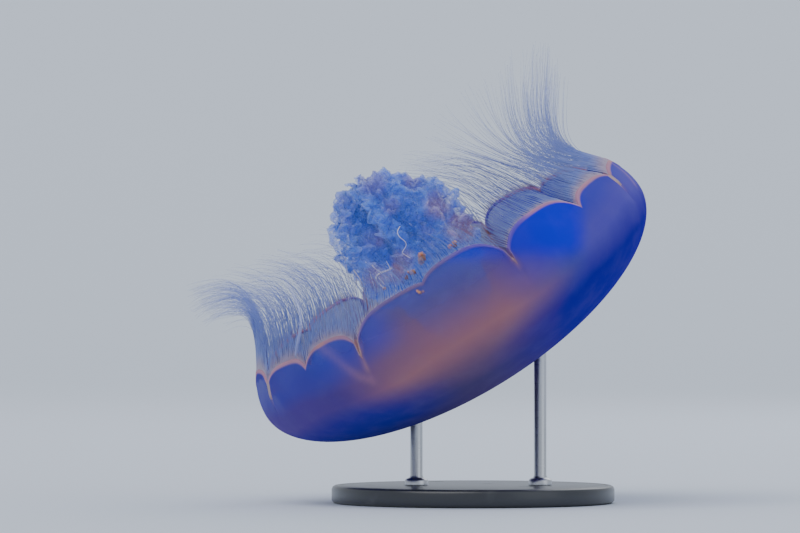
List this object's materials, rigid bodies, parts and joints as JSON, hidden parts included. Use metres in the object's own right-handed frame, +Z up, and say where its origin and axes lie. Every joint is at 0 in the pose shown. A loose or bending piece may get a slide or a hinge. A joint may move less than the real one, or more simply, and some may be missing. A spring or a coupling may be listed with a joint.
{
  "type": "moon jellyfish model",
  "caption": "Life-size moon jellyfish turned over and banked, with scalloped margin, tentacle fringe, frilled oral arms and horseshoe gonads, on a disc stand with two rods.",
  "frame": {"origin": "centre of the underside of the stand's base", "axes": "+Z up, -Y towards the viewer, +X towards the bell's raised side"},
  "size_m": [0.2594, 0.2472, 0.2575],
  "materials": {
    "bell_jelly": "clear wet jelly, faintly violet",
    "margin_jelly": "clear wet jelly with a peach edge",
    "arm_frill": "soft, frilled and translucent, milky blue",
    "gonad": "soft, pink-mauve",
    "sense_organ": "soft, peach",
    "stand_base": "satin charcoal enamel",
    "stand_rod": "satin"
  },
  "bodies": {
    "root": {"bell": "bell_jelly", "gonad_1": "gonad", "gonad_2": "gonad", "gonad_3": "gonad", "gonad_4": "gonad", "margin_lobe_1": "margin_jelly", "margin_lobe_2": "margin_jelly", "margin_lobe_3": "margin_jelly", "margin_lobe_4": "margin_jelly", "margin_lobe_5": "margin_jelly", "margin_lobe_6": "margin_jelly", "margin_lobe_7": "margin_jelly", "margin_lobe_8": "margin_jelly", "mouth": "arm_frill", "oral_arm_1_root": "arm_frill", "oral_arm_1_tip": "arm_frill", "oral_arm_2_root": "arm_frill", "oral_arm_2_tip": "arm_frill", "oral_arm_3_root": "arm_frill", "oral_arm_3_tip": "arm_frill", "oral_arm_4_root": "arm_frill", "oral_arm_4_tip": "arm_frill", "rhopalium_1": "sense_organ", "rhopalium_2": "sense_organ", "rhopalium_3": "sense_organ", "rhopalium_4": "sense_organ", "rhopalium_5": "sense_organ", "rhopalium_6": "sense_organ", "rhopalium_7": "sense_organ", "rhopalium_8": "sense_organ", "stand_base": "stand_base", "stand_rod_left": "stand_rod", "stand_rod_right": "stand_rod"}
  },
  "joints": []
}
